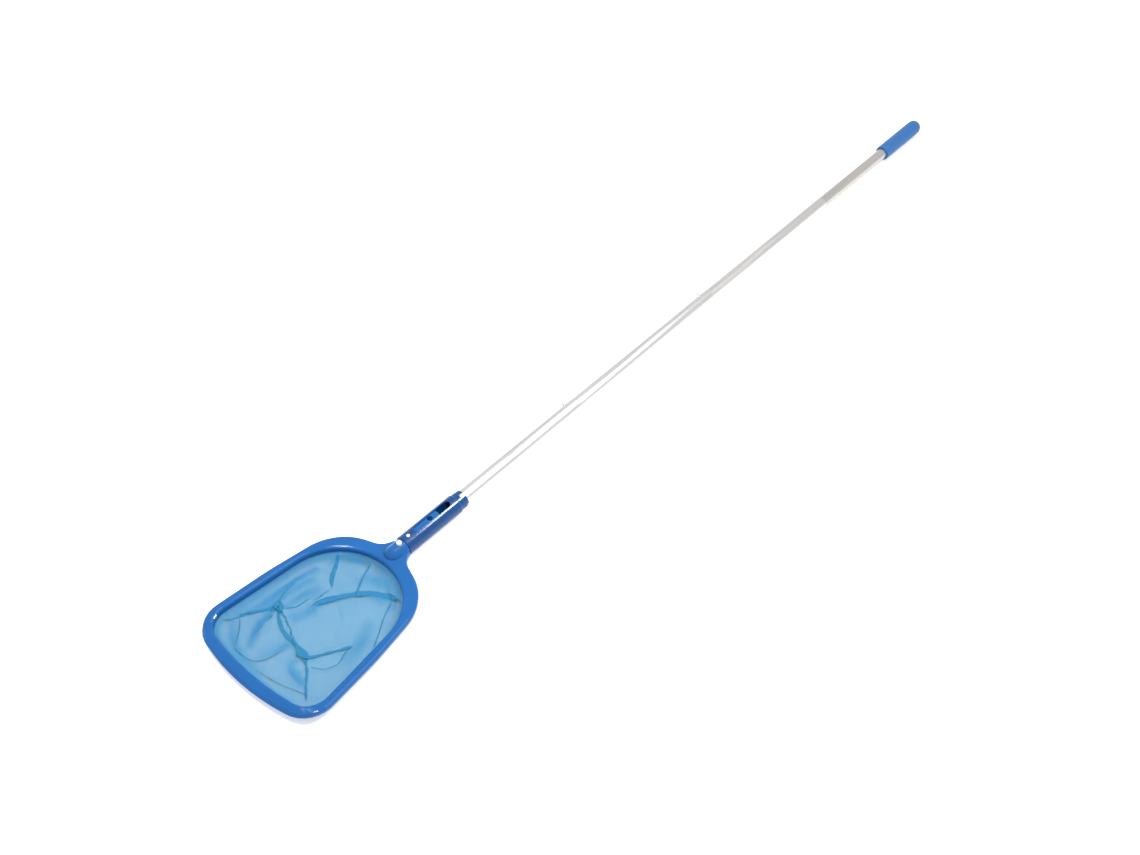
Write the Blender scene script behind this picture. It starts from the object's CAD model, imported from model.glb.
"""Leaf skimmer net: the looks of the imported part, built around its CAD frame.

Units are metres in the part's own frame: +Y from the net to the grip, +Z up, floor at z = 0.
"""
import math

import bpy
import numpy as np
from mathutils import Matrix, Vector
from mathutils.bvhtree import BVHTree
from mathutils.geometry import delaunay_2d_cdt


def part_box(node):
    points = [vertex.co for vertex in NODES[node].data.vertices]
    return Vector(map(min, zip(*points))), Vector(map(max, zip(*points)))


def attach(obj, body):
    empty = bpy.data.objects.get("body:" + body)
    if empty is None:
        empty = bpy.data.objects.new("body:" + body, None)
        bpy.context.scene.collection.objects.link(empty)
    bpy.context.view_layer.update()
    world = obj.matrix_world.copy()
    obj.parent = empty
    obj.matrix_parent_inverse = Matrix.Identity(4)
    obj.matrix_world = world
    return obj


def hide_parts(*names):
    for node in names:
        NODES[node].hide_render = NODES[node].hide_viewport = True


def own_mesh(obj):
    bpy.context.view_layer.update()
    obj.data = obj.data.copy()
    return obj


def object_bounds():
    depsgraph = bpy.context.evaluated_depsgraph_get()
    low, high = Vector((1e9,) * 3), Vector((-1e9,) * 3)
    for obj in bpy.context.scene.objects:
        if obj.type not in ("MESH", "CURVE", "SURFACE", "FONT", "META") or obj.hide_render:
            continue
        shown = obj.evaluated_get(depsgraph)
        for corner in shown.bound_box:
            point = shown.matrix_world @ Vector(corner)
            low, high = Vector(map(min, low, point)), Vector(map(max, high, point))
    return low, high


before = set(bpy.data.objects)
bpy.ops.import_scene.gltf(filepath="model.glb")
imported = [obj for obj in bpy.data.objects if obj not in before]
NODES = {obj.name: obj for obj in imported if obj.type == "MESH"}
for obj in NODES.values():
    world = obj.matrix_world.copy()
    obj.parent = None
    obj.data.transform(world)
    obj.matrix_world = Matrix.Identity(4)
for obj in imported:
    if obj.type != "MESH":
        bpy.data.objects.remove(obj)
CAD_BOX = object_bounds()
MM = 0.001

# ---- camera, floor and light -----------------------------------------------------------

CAMERA_PLACE = (1.01683, -1.38089, 1.60645)
CAMERA_AZIMUTH = 41.0886
CAMERA_ELEVATION = 46.5723
CAMERA_LENS = 40.769

WORLD_STRENGTH = 0.95
FLOOR_HALF = 14.0


def make_camera():
    data = bpy.data.cameras.new("camera")
    data.lens = CAMERA_LENS
    data.sensor_width = 36.0
    data.clip_start = 0.05
    data.clip_end = 60.0
    item = bpy.data.objects.new("camera", data)
    item.location = CAMERA_PLACE
    item.rotation_euler = (math.radians(90 - CAMERA_ELEVATION), 0.0, math.radians(CAMERA_AZIMUTH))
    bpy.context.scene.collection.objects.link(item)
    bpy.context.scene.camera = item


def softbox(name, place, target, size, watts):
    data = bpy.data.lights.new(name, "AREA")
    data.shape = "RECTANGLE"
    data.size = size[0]
    data.size_y = size[1]
    data.energy = watts
    item = bpy.data.objects.new(name, data)
    item.location = place
    item.rotation_mode = "QUATERNION"
    item.rotation_quaternion = (Vector(target) - Vector(place)).to_track_quat("-Z", "Y")
    item.visible_camera = False
    bpy.context.scene.collection.objects.link(item)


def make_world():
    world = bpy.data.worlds.new("studio")
    world.use_nodes = True
    background = world.node_tree.nodes["Background"]
    background.inputs["Color"].default_value = (1.0, 1.0, 1.0, 1.0)
    background.inputs["Strength"].default_value = WORLD_STRENGTH
    bpy.context.scene.world = world
    bpy.context.scene.view_settings.view_transform = "Standard"


# ---- material helpers --------------------------------------------------------------------

class Nodes:
    """A short way to write a node material."""

    def __init__(self, name):
        self.material = bpy.data.materials.new(name)
        self.material.use_nodes = True
        self.tree = self.material.node_tree
        self.shader = self.tree.nodes["Principled BSDF"]

    def add(self, kind, **settings):
        node = self.tree.nodes.new(kind)
        for key, value in settings.items():
            setattr(node, key, value)
        return node

    def link(self, source, target):
        self.tree.links.new(source, target)

    def set(self, socket, value):
        self.shader.inputs[socket].default_value = value

    def coordinates(self, scale=(1.0, 1.0, 1.0), source="Object"):
        """Object or UV coordinates, scaled."""
        where = self.add("ShaderNodeTexCoord")
        mapping = self.add("ShaderNodeMapping")
        mapping.inputs["Scale"].default_value = scale
        self.link(where.outputs[source], mapping.inputs["Vector"])
        return mapping.outputs["Vector"]

    def noise(self, vector, scale, detail=4.0, roughness=0.55):
        node = self.add("ShaderNodeTexNoise")
        node.inputs["Scale"].default_value = scale
        node.inputs["Detail"].default_value = detail
        node.inputs["Roughness"].default_value = roughness
        self.link(vector, node.inputs["Vector"])
        return node.outputs["Fac"]

    def ramp(self, value, stops):
        """Colour ramp from two (place, colour) pairs."""
        node = self.add("ShaderNodeValToRGB")
        for element, (place, colour) in zip(node.color_ramp.elements, stops):
            element.position = place
            element.color = (*colour, 1.0)
        self.link(value, node.inputs["Fac"])
        return node.outputs["Color"]

    def spread(self, value, low, high, before=(0.0, 1.0)):
        """Map a value from one range to another."""
        node = self.add("ShaderNodeMapRange")
        node.inputs["From Min"].default_value = before[0]
        node.inputs["From Max"].default_value = before[1]
        node.inputs["To Min"].default_value = low
        node.inputs["To Max"].default_value = high
        self.link(value, node.inputs["Value"])
        return node.outputs["Result"]

    def math(self, operation, first, second=None):
        node = self.add("ShaderNodeMath", operation=operation)
        for socket, value in zip(node.inputs, (first, second)):
            if value is None:
                continue
            if isinstance(value, (int, float)):
                socket.default_value = value
            else:
                self.link(value, socket)
        return node.outputs["Value"]

    def bump(self, height, strength, distance):
        node = self.add("ShaderNodeBump")
        node.inputs["Strength"].default_value = strength
        node.inputs["Distance"].default_value = distance
        self.link(height, node.inputs["Height"])
        self.link(node.outputs["Normal"], self.shader.inputs["Normal"])


def shades(colour, change):
    """A darker and a lighter version of one colour."""
    dark = tuple(c * (1 - change) for c in colour)
    light = tuple(min(1.0, c * (1 + change)) for c in colour)
    return dark, light


def paint(item, material):
    """Give an object this one material."""
    item.data.materials.clear()
    item.data.materials.append(material)


def moulded_plastic(name, colour, rough=(0.06, 0.12), specular=0.33, grain=0.02, glow=None):
    """Injection-moulded plastic: slow colour drift, fine orange peel, faint handling scuffs."""
    n = Nodes(name)
    where = n.coordinates()
    drift = n.noise(where, 22.0, 3.0)
    dark, light = shades(colour, 0.07)
    n.link(n.ramp(drift, ((0.3, dark), (0.7, light))), n.shader.inputs["Base Color"])
    scuffs = n.noise(where, 240.0, 6.0, 0.7)
    n.link(n.spread(scuffs, rough[0], rough[1], (0.35, 0.7)), n.shader.inputs["Roughness"])
    n.set("Specular IOR Level", specular)
    peel = n.noise(where, 900.0, 3.0, 0.6)
    n.bump(peel, grain, 0.0002)
    if glow is not None:
        n.set("Emission Color", (*glow, 1.0))
        n.set("Emission Strength", 1.0)
    return n.material


def brushed_tube(name, colour, rough=(0.2, 0.36)):
    """Drawn and anodised aluminium tube: fine lines along its length and a soft sheen."""
    n = Nodes(name)
    lines = n.noise(n.coordinates((1500.0, 7.0, 1500.0)), 1.0, 3.0, 0.65)
    clouds = n.noise(n.coordinates((30.0, 5.0, 30.0)), 1.0, 3.0)
    mixed = n.math("ADD", n.math("MULTIPLY", lines, 0.6), n.math("MULTIPLY", clouds, 0.4))
    dark, light = shades(colour, 0.07)
    n.link(n.ramp(mixed, ((0.35, dark), (0.65, light))), n.shader.inputs["Base Color"])
    n.link(n.spread(lines, rough[0], rough[1], (0.3, 0.7)), n.shader.inputs["Roughness"])
    n.set("Metallic", 1.0)
    n.set("Anisotropic", 0.5)
    n.bump(lines, 0.12, 0.0001)
    return n.material


def soft_vinyl(name, colour):
    """Dipped vinyl: matt, slightly rubbery, with fine pores and handling marks."""
    n = Nodes(name)
    where = n.coordinates()
    marks = n.noise(where, 60.0, 5.0, 0.65)
    dark, light = shades(colour, 0.12)
    n.link(n.ramp(marks, ((0.3, dark), (0.7, light))), n.shader.inputs["Base Color"])
    n.link(n.spread(marks, 0.42, 0.62, (0.3, 0.7)), n.shader.inputs["Roughness"])
    n.set("Specular IOR Level", 0.35)
    pores = n.noise(where, 1400.0, 3.0, 0.6)
    n.bump(n.math("ADD", pores, n.math("MULTIPLY", marks, 0.6)), 0.15, 0.0004)
    return n.material


def spring_steel(name, colour, rough):
    """Ground and tempered spring steel: a fine even grain."""
    n = Nodes(name)
    where = n.coordinates()
    grain = n.noise(where, 1800.0, 4.0, 0.6)
    dark, light = shades(colour, 0.12)
    n.link(n.ramp(grain, ((0.3, dark), (0.7, light))), n.shader.inputs["Base Color"])
    n.link(n.spread(grain, rough, rough + 0.14, (0.3, 0.7)), n.shader.inputs["Roughness"])
    n.set("Metallic", 1.0)
    n.bump(grain, 0.1, 0.0001)
    return n.material


def woven_mesh(name, thread, pitch, cover):
    """Fine plain-woven mesh with clear holes, closing up and deepening where it is bunched."""
    n = Nodes(name)
    vector = n.coordinates((1.0 / pitch, 1.0 / pitch, 1.0), "UV")
    parts = n.add("ShaderNodeSeparateXYZ")
    n.link(vector, parts.inputs["Vector"])
    ridges = []
    for axis in ("X", "Y"):
        turn = n.math("MULTIPLY", parts.outputs[axis], math.tau)
        ridges.append(n.math("COSINE", turn))
    top = n.math("MAXIMUM", ridges[0], ridges[1])
    bunched = n.add("ShaderNodeAttribute", attribute_name="bunched").outputs["Fac"]
    edge = math.cos(math.pi * cover)
    closed = n.math("ADD", top, n.math("MULTIPLY", bunched, 1.1))
    solid = n.spread(closed, 0.0, 1.0, (edge - 0.25, edge + 0.25))
    n.link(n.math("MAXIMUM", solid, n.spread(bunched, 0.16, 0.8)), n.shader.inputs["Alpha"])
    drift = n.noise(n.coordinates((38.0, 38.0, 38.0)), 1.0, 4.0)
    tone = n.math("ADD", n.math("MULTIPLY", drift, 0.5), n.math("MULTIPLY", bunched, 0.75))
    n.link(n.ramp(tone, ((0.1, thread[0]), (0.8, thread[1]))), n.shader.inputs["Base Color"])
    sheen = n.noise(n.coordinates((160.0, 160.0, 160.0)), 1.0, 3.0)
    n.link(n.spread(sheen, 0.42, 0.6, (0.3, 0.7)), n.shader.inputs["Roughness"])
    n.set("Specular IOR Level", 0.3)
    n.bump(top, 0.35, 0.0002)
    return n.material


# ---- the mesh bag --------------------------------------------------------------------------

EDGE_HEIGHT = 11.1          # the net leaves the rim's groove here, millimetres
FLOOR_CLEAR = 0.9           # the lowest layer lies this far above the floor
WALL_RUN = 17.0             # how far in the sides reach the floor
SPACING = 2.3               # between the points of the net, away from folds
FINE_SPACING = 1.15         # and close to them
SLACK = 1.06                # the flat cut is larger than the opening
SIM_SCALE = 10.0            # the cloth is simulated at this scale
SIM_FRAMES = 24

HEAD_FRONT = CAD_BOX[0].y / MM

# The folds where the slack net has settled, as (layer width, points); the points are
# millimetres across and along from the front lip.
FOLDS = (
    (5.0, ((-56, 136), (-68, 126), (-82, 110), (-93, 90), (-99, 76))),
    (2.4, ((-95, 84), (-101, 68), (-111, 52))),
    (3.0, ((-80, 119), (-68, 127), (-57, 130), (-34, 124), (-10, 114), (17, 100), (38, 89))),
    (3.6, ((26, 97), (38, 89), (52, 80), (70, 62), (88, 46))),
    (5.8, ((-72, 138), (-64, 122), (-50, 112), (-34, 102), (-8, 96), (16, 96), (32, 93))),
    (5.0, ((34, 95), (45, 113), (55, 131), (70, 155))),
    (1.5, ((71, 156), (78, 128), (76, 104), (54, 86))),
    (5.4, ((-74, 256), (-62, 238), (-50, 218), (-40, 206))),
    (1.8, ((-41, 207), (-45, 172), (-47, 140), (-60, 130))),
    (7.4, ((-31, 160), (-20, 184), (-2, 216), (22, 238), (46, 251), (62, 254))),
    (2.6, ((54, 253), (70, 253), (84, 246))),
    (1.6, ((46, 252), (64, 222), (84, 190), (96, 168))),
    (2.4, ((-22, 276), (-14, 246), (-3, 224))),
    (1.8, ((-72, 116), (-64, 96), (-54, 70))),
    (1.4, ((-95, 76), (-80, 63), (-60, 38))),
    (1.2, ((-60, 34), (-24, 36), (-8, 54), (-4, 76))),
    (0.9, ((-12, 31), (30, 38), (78, 50))),
    (1.6, ((-82, 176), (-83, 150), (-74, 130))),
    (2.2, ((-76, 140), (-70, 128), (-64, 116))),
    (1.8, ((-60, 142), (-66, 128), (-78, 112))),
    (1.6, ((-66, 118), (-60, 100), (-56, 88))),
)
FOLD_GAIN = 1.3             # the cloth opens the folds a little as it settles
FOLD_END = 9.0              # length over which a fold runs out
END_FADE = 5.0              # and the net beyond its end
SIDE_FADE = 34.0            # how far beside a fold the net is drawn towards it
LAYER_LIFT = 0.55           # share of its width by which a layer lifts the next
WIDEST_LIFT = 1.4           # wider layers than this lift no more
FOLD_HOLD = 0.35            # how firmly the folds are held while the cloth settles
EDGE_GAP = 0.7              # least distance of a point from the edge, in spacings
FINE_REACH = 1.7            # the net is fine this far from a fold, in layer widths

# Soft swells where the net is bunched, as (density, width, rise, points), all in millimetres.
WAVES = (
    (0.50, 6.0, 3.5, ((-70, 118), (-68, 96), (-58, 72), (-46, 56))),
    (0.45, 7.0, 3.0, ((-112, 60), (-98, 92), (-84, 124), (-76, 160), (-72, 190))),
    (0.55, 5.0, 4.0, ((-100, 96), (-94, 130), (-88, 170), (-82, 210))),
    (0.50, 7.0, 3.5, ((-76, 238), (-62, 256), (-36, 272), (-8, 284))),
    (0.45, 9.0, 3.0, ((-30, 138), (-24, 160), (-18, 184), (0, 210))),
    (0.35, 9.0, 3.0, ((8, 226), (34, 232), (60, 236))),
    (0.35, 8.0, 2.5, ((-14, 246), (2, 262), (26, 270), (52, 268))),
    (0.30, 10.0, 2.5, ((60, 190), (76, 160), (84, 130))),
    (0.40, 6.0, 2.5, ((20, 70), (44, 62), (66, 60))),
    (0.35, 8.0, 2.5, ((-96, 60), (-76, 44), (-40, 32), (0, 28))),
    (0.30, 9.0, 2.0, ((-20, 60), (-8, 80), (0, 92))),
    (0.35, 7.0, 2.5, ((-56, 190), (-58, 165), (-62, 140))),
)


OUTLINE_RAYS = 260


def opening_outline():
    """The inner side of the retaining ring, as points in millimetres round the opening."""
    ring = NODES["net_retaining_ring"]
    low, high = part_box("net_retaining_ring")
    middle = (low + high) / 2
    bpy.context.view_layer.update()
    tree = BVHTree.FromObject(ring, bpy.context.evaluated_depsgraph_get())
    points = []
    for k in range(OUTLINE_RAYS):
        turn = math.tau * k / OUTLINE_RAYS
        hit = tree.ray_cast(middle, Vector((math.cos(turn), math.sin(turn), 0.0)))[0]
        points.append((hit.x / MM, hit.y / MM - HEAD_FRONT))
    points = np.array(points)
    step = np.linalg.norm(np.roll(points, -1, 0) - points, axis=1)
    along = np.concatenate(([0.0], np.cumsum(step)))
    closed = np.vstack((points, points[:1]))
    total = int(round(along[-1] / SPACING))
    spots = np.linspace(0.0, along[-1], total, endpoint=False)
    return np.column_stack([np.interp(spots, along, closed[:, k]) for k in range(2)])


def polyline_distance(points, line):
    """Distance, signed distance, share along the line and the nearest segment's normal."""
    line = np.array(line, float)
    lengths = np.linalg.norm(np.diff(line, axis=0), axis=1)
    starts = np.concatenate(([0.0], np.cumsum(lengths)))
    best = np.full(len(points), 1e9)
    signed = np.zeros(len(points))
    share = np.zeros(len(points))
    normal = np.zeros((len(points), 2))
    for k in range(len(lengths)):
        direction = (line[k + 1] - line[k]) / lengths[k]
        across = np.array((-direction[1], direction[0]))
        offset = points - line[k]
        travel = np.clip(offset @ direction, 0.0, lengths[k])
        gap = offset - np.outer(travel, direction)
        distance = np.linalg.norm(gap, axis=1)
        closer = distance < best
        best[closer] = distance[closer]
        signed[closer] = (offset @ across)[closer]
        share[closer] = ((starts[k] + travel) / starts[-1])[closer]
        normal[closer] = across
    return best, signed, share, normal


def smooth(line, rounds=3):
    """Corner cutting, so that a fold runs in curves."""
    line = np.array(line, float)
    for _ in range(rounds):
        cut = np.empty((2 * (len(line) - 1), 2))
        cut[0::2] = line[:-1] * 0.75 + line[1:] * 0.25
        cut[1::2] = line[:-1] * 0.25 + line[1:] * 0.75
        line = np.vstack((line[:1], cut, line[-1:]))
    return line


def inside(points, outline):
    """Which points lie inside a closed outline."""
    result = np.zeros(len(points), bool)
    for (ax, ay), (bx, by) in zip(outline, np.roll(outline, -1, 0)):
        crosses = (ay > points[:, 1]) != (by > points[:, 1])
        with np.errstate(divide="ignore", invalid="ignore"):
            reach = (bx - ax) * (points[:, 1] - ay) / (by - ay) + ax
        result ^= crosses & (points[:, 0] < reach)
    return result


def hex_grid(spacing, low, high, random):
    """Points in staggered rows, each moved a little at random."""
    rows = np.arange(low[1], high[1], spacing * math.sqrt(0.75))
    grid = []
    for k, y in enumerate(rows):
        xs = np.arange(low[0] + (k % 2) * spacing / 2, high[0], spacing)
        grid.append(np.column_stack((xs, np.full(len(xs), y))))
    grid = np.vstack(grid)
    return grid + random.uniform(-0.12, 0.12, grid.shape) * spacing


def net_points(outline, lines):
    """Points of the flat net: even, and finer along the folds."""
    random = np.random.default_rng(7)
    low, high = outline.min(0), outline.max(0)
    kept = []
    for spacing, near in ((SPACING, False), (FINE_SPACING, True)):
        grid = hex_grid(spacing, low, high, random)
        grid = grid[inside(grid, outline)]
        edge = polyline_distance(grid, np.vstack((outline, outline[:1])))[0]
        grid = grid[edge > spacing * EDGE_GAP]
        reach = np.full(len(grid), 1e9)
        for width, line in lines:
            reach = np.minimum(reach, polyline_distance(grid, line)[0] - width * FINE_REACH)
        kept.append(grid[(reach <= 1.0) == near])
    return np.vstack(kept)


def smooth_step(value):
    """From 0 to 1 with a level start and end."""
    value = np.clip(value, 0.0, 1.0)
    return value * value * (3 - 2 * value)


def ragged(share, length, seed):
    """A slowly wandering factor along a fold, for its uneven edge."""
    random = np.random.default_rng(seed)
    stops = random.uniform(0.72, 1.25, max(4, int(length / 5.0)))
    return np.interp(share, np.linspace(0.0, 1.0, len(stops)), stops)


def pleat(points, width, line, seed):
    """Shift and lift of a Z-fold: three layers across the line, fading into the flat net."""
    distance, signed, share, normal = polyline_distance(points, line)
    length = np.linalg.norm(np.diff(line, axis=0), axis=1).sum()
    beyond = np.sqrt(np.maximum(distance ** 2 - signed ** 2, 0.0))
    ends = np.minimum(share, 1 - share) * length
    along = smooth_step(ends / FOLD_END) * (1 - smooth_step(beyond / END_FADE))
    taper = along * ragged(share, length, seed)
    layer = width * FOLD_GAIN * np.maximum(taper, 1e-3)
    d = signed / layer
    middle = -2.0 * d
    side = -np.sign(d) * (1 - smooth_step((np.abs(signed) - 1.5 * layer) / SIDE_FADE))
    shift = np.where(np.abs(d) < 0.5, middle, side) * layer
    level = np.clip(d + 1.0, 0.0, 2.0)
    fall = 1 - smooth_step((signed - 1.4 * layer) / (7.0 + layer))
    lift = level * np.where(d > 1.4, fall, 1.0) * np.minimum(layer, WIDEST_LIFT) * LAYER_LIFT
    return normal * shift[:, None], lift, (np.abs(d) < 1.7) & (taper > 0.25)


def flat_net(lines):
    """Outline, points and triangles of the flat net."""
    outline = opening_outline()
    points = np.vstack((outline, net_points(outline, lines)))
    count = len(outline)
    loop = [(k, (k + 1) % count) for k in range(count)]
    made = delaunay_2d_cdt([Vector(p) for p in points], loop, [], 1, 1e-5)
    flat = np.array([tuple(v) for v in made[0]])
    return outline, flat, [tuple(f) for f in made[2]]


def add_swells(flat, height, bunched, calm):
    """Raise the net and note its density along the soft swells."""
    for strength, width, rise, line in WAVES:
        distance, _, share, _ = polyline_distance(flat, smooth(line))
        profile = 0.35 + 0.65 * np.sin(math.pi * np.clip(share, 0.1, 0.9))
        swell = np.exp(-(distance / width) ** 2) * profile
        bunched = np.maximum(bunched, strength * swell)
        height = height + rise * swell * calm
    return height, bunched


def build_net():
    """The flat net, its folded start, its faces, what is pinned or held, and its density."""
    lines = [(width, smooth(points)) for width, points in FOLDS]
    outline, flat, faces = flat_net(lines)
    edge = polyline_distance(flat, np.vstack((outline, outline[:1])))[0]
    wall = (1 - smooth_step(edge / WALL_RUN)) ** 1.3
    height = FLOOR_CLEAR + (EDGE_HEIGHT - FLOOR_CLEAR) * wall
    placed = flat.copy()
    held = np.zeros(len(flat), bool)
    calm = smooth_step(edge / 12.0)
    bunched = 0.42 * (1 - smooth_step((edge - 3.0) / 9.0))
    for seed, (width, line) in enumerate(lines):
        shift, lift, near = pleat(flat, width, line, seed)
        placed += shift * calm[:, None]
        height += lift
        held |= near
    height, bunched = add_swells(flat, height, bunched, calm)
    pinned = edge < 0.05
    placed[pinned] = flat[pinned]
    height[pinned] = EDGE_HEIGHT
    start = np.column_stack((placed[:, 0], placed[:, 1], height))
    return flat, start, faces, pinned, held, bunched


def to_object(name, points, faces, scale=MM):
    """A mesh object from points, brought to metres by scale."""
    mesh = bpy.data.meshes.new(name)
    mesh.from_pydata([tuple(p) for p in points * scale], [], faces)
    mesh.update()
    item = bpy.data.objects.new(name, mesh)
    bpy.context.scene.collection.objects.link(item)
    return item


def rectangle(low, high):
    """Four corners at height zero, and the face between them."""
    corners = ((low[0], low[1], 0.0), (high[0], low[1], 0.0), (high[0], high[1], 0.0), (low[0], high[1], 0.0))
    return np.array(corners), [(0, 1, 2, 3)]


def cloth_object(flat, start, faces, pinned, held, unit):
    """The folded net at the simulation's scale, with the flat cut as its rest shape."""
    middle = flat.mean(0)
    item = to_object("net_cloth", start, faces, unit)
    item.shape_key_add(name="placed")
    rest = item.shape_key_add(name="cut")
    level = np.full(len(flat), EDGE_HEIGHT)
    cut = np.column_stack(((flat - middle) * SLACK + middle, level)) * unit
    rest.data.foreach_set("co", cut.ravel())
    rest.value = 0.0
    group = item.vertex_groups.new(name="pin")
    group.add([int(k) for k in np.flatnonzero(pinned)], 1.0, "REPLACE")
    group.add([int(k) for k in np.flatnonzero(held & ~pinned)], FOLD_HOLD, "REPLACE")
    return item, rest


def collision_floor(unit):
    """The floor that the net settles on."""
    item = to_object("net_floor", *rectangle((-600.0, -600.0), (600.0, 900.0)), unit)
    item.modifiers.new("collision", "COLLISION")
    item.collision.thickness_outer = 0.004
    item.collision.cloth_friction = 30.0
    return item


CLOTH = {
    "quality": 6,
    "mass": 0.05,
    "tension_stiffness": 12.0,
    "compression_stiffness": 12.0,
    "shear_stiffness": 3.0,
    "bending_stiffness": 0.25,
    "tension_damping": 6.0,
    "compression_damping": 6.0,
    "shear_damping": 4.0,
    "bending_damping": 0.5,
    "air_damping": 4.0,
    "vertex_group_mass": "pin",
    "pin_stiffness": 1.0,
}


def add_cloth(item, rest):
    """The cloth modifier, colliding with the floor but not with itself."""
    cloth = item.modifiers.new("cloth", "CLOTH")
    for key, value in CLOTH.items():
        setattr(cloth.settings, key, value)
    cloth.settings.rest_shape_key = rest
    cloth.collision_settings.use_collision = True
    cloth.collision_settings.distance_min = 0.004
    cloth.collision_settings.use_self_collision = False
    cloth.point_cache.frame_start = 1
    cloth.point_cache.frame_end = SIM_FRAMES


def simulate(flat, start, faces, pinned, held):
    """Let the folded net settle on the floor as cloth, at a larger scale."""
    unit = MM * SIM_SCALE
    item, rest = cloth_object(flat, start, faces, pinned, held, unit)
    floor = collision_floor(unit)
    add_cloth(item, rest)
    scene = bpy.context.scene
    for frame_number in range(1, SIM_FRAMES + 1):
        scene.frame_set(frame_number)
    graph = bpy.context.evaluated_depsgraph_get()
    settled = item.evaluated_get(graph).to_mesh()
    points = np.empty(len(settled.vertices) * 3, np.float32)
    settled.vertices.foreach_get("co", points)
    points = points.reshape(-1, 3).astype(float) / unit
    scene.frame_set(1)
    for done in (item, floor):
        bpy.data.objects.remove(done, do_unlink=True)
    return points


def add_weave(mesh, flat, bunched):
    """Flat-cut UVs for the weave, and the density of the net as an attribute."""
    layer = mesh.uv_layers.new(name="weave")
    corners = np.empty(len(mesh.loops), np.int32)
    mesh.loops.foreach_get("vertex_index", corners)
    layer.data.foreach_set("uv", (flat[corners] * SLACK * MM).astype(np.float32).ravel())
    density = mesh.attributes.new("bunched", "FLOAT", "POINT")
    density.data.foreach_set("value", bunched.astype(np.float32))


def make_net(material):
    """The mesh bag, in place of its plain CAD solid."""
    flat, start, faces, pinned, held, bunched = build_net()
    points = simulate(flat, start, faces, pinned, held)
    points[:, 2] = np.clip(points[:, 2], 0.3, EDGE_HEIGHT + 0.1)
    points[:, 1] += HEAD_FRONT
    item = to_object("net_cloth_bag", points, faces)
    add_weave(item.data, flat, bunched)
    item.data.shade_smooth()
    item.data.materials.append(material)
    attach(item, "head")
    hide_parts("net_bag")


# ---- the leaf springs under the snap buttons ----------------------------------------------


def flexing_spring(number, material):
    """The CAD leaf spring, closing towards the tube's far wall as its button is pressed."""
    node = NODES["snap_spring_%d" % number]
    item = bpy.data.objects.new("leaf_spring_%d" % number, node.data.copy())
    bpy.context.scene.collection.objects.link(item)
    item.matrix_world = node.matrix_world
    paint(item, material)
    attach(item, "section_%d" % (number + 1))
    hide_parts("snap_spring_%d" % number)
    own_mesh(item)


# ---- putting it together ------------------------------------------------------------------

make_camera()
make_world()
softbox("key", (-0.41, -0.87, 1.9), (-0.07, -0.67, 0.0), (0.34, 0.26), 16.0)
softbox("rear_strip", (0.60, 0.19, 1.15), (0.0, -0.5, 0.0), (0.34, 0.26), 13.0)
softbox("overhead", (0.1, 0.6, 2.4), (0.0, 0.3, 0.0), (1.0, 2.0), 14.0)
softbox("left", (-1.6, -0.55, 0.35), (0.0, -0.62, 0.02), (0.3, 0.22), 1.2)

floor = to_object("floor", *rectangle((-1.0, -1.0), (1.0, 1.0)), FLOOR_HALF)
paper = Nodes("studio_floor")
paper.set("Base Color", (0.78, 0.78, 0.78, 1.0))
paper.set("Emission Color", (1.0, 1.0, 1.0, 1.0))
paper.set("Emission Strength", 0.34)        # keeps the shadows faint
paper.set("Roughness", 0.9)
paper.set("Specular IOR Level", 0.0)
floor.data.materials.append(paper.material)

WALL_GLOW = (0.001, 0.018, 0.07)       # light that comes through the thin moulded walls
FRAME_BLUE = (0.004, 0.078, 0.25)
SLEEVE_BLUE = (0.002, 0.034, 0.125)
GRIP_BLUE = (0.018, 0.115, 0.33)
TUBE_GREYS = ((0.65, 0.645, 0.64), (0.64, 0.635, 0.63), (0.62, 0.61, 0.60), (0.52, 0.50, 0.48))

MATERIALS = {
    "skimmer_frame": moulded_plastic("rim_plastic", FRAME_BLUE, glow=WALL_GLOW),
    "coupling_sleeve": moulded_plastic("sleeve_plastic", SLEEVE_BLUE, (0.11, 0.16), grain=0.006,
                                       glow=WALL_GLOW),
    "net_hem_bead": soft_vinyl("bead_cord", (0.02, 0.12, 0.36)),
    "net_retaining_ring": soft_vinyl("retainer_vinyl", (0.012, 0.09, 0.32)),
    "clip_spring": moulded_plastic("clip_acetal", (0.72, 0.73, 0.74), (0.3, 0.45), 0.4),
    "hand_grip": soft_vinyl("grip_vinyl", GRIP_BLUE),
}
MATERIALS["release_leg"] = MATERIALS["clip_spring"]
for number, grey in enumerate(TUBE_GREYS, 1):
    MATERIALS["pole_section_%d" % number] = brushed_tube("tube_%d" % number, grey)
button_steel = spring_steel("button_steel", (0.7, 0.7, 0.7), 0.22)
leaf_steel = spring_steel("leaf_steel", (0.55, 0.55, 0.56), 0.3)
for number in (1, 2, 3):
    MATERIALS["snap_button_%d" % number] = button_steel
    flexing_spring(number, leaf_steel)

for name, material in MATERIALS.items():
    paint(NODES[name], material)

THREAD_BLUES = ((0.013, 0.2, 0.36), (0.001, 0.155, 0.36))   # spread out, and bunched
WEAVE_PITCH = 0.0008
WEAVE_COVER = 0.48                      # share of the pitch that a thread covers
make_net(woven_mesh("net_weave", THREAD_BLUES, WEAVE_PITCH, WEAVE_COVER))
